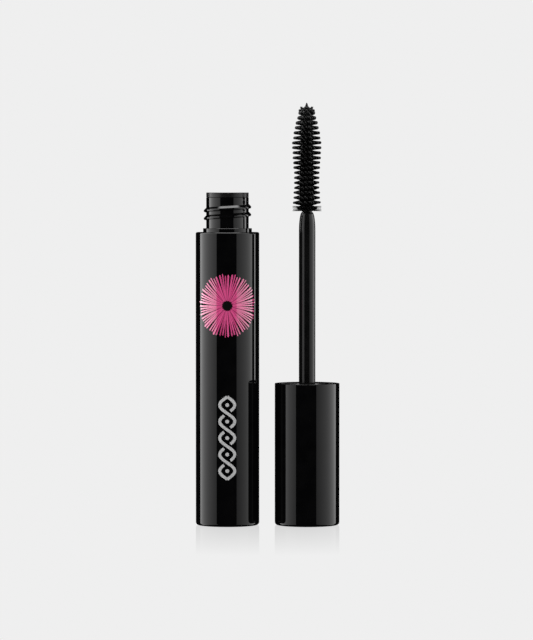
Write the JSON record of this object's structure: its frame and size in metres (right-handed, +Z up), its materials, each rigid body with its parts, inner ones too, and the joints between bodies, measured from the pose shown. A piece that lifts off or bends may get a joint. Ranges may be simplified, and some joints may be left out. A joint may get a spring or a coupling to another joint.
{
  "type": "mascara tube",
  "caption": "Slim gloss black mascara bottle with a screw neck and wiper, open, beside its screw cap with wand and moulded brush.",
  "frame": {"origin": "on the bottle's axis, on the surface that the bottle and the applicator stand on", "axes": "+Z up along the bottle's axis, +X from the bottle's axis towards the standing applicator's axis, -Y the printed front"},
  "size_m": [0.0397, 0.0178, 0.1164],
  "materials": {
    "shell_black": "polished",
    "vial_black": "gloss",
    "wiper_black": "satin",
    "paste_black": "wet",
    "label_black": "matt",
    "liner_black": "satin",
    "washer_grey": "matt",
    "rod_black": "satin",
    "brush_black": "satin",
    "print_pink": "printed",
    "print_grey": "printed"
  },
  "bodies": {
    "bottle": {"outer_sleeve": "shell_black", "inner_vial": "vial_black", "wiper": "wiper_black", "mascara_paste": "paste_black", "base_label": "label_black"},
    "seal": {"sealing_washer": "washer_grey"},
    "applicator": {"outer_cap": "shell_black", "inner_cap": "liner_black", "wand_rod": "rod_black", "brush": "brush_black"}
  },
  "joints": [
    {"name": "applicator_flip", "type": "hinge", "parent": "bottle", "child": "seal", "pos_m": [0.01098, 0, 0.106], "axis": [0, -1, 0], "range_deg": [0, 180]},
    {"name": "cap_turn", "type": "hinge", "parent": "seal", "child": "applicator", "pos_m": [0.02196, 0, 0], "axis": [0, 0, 1], "continuous": true}
  ]
}
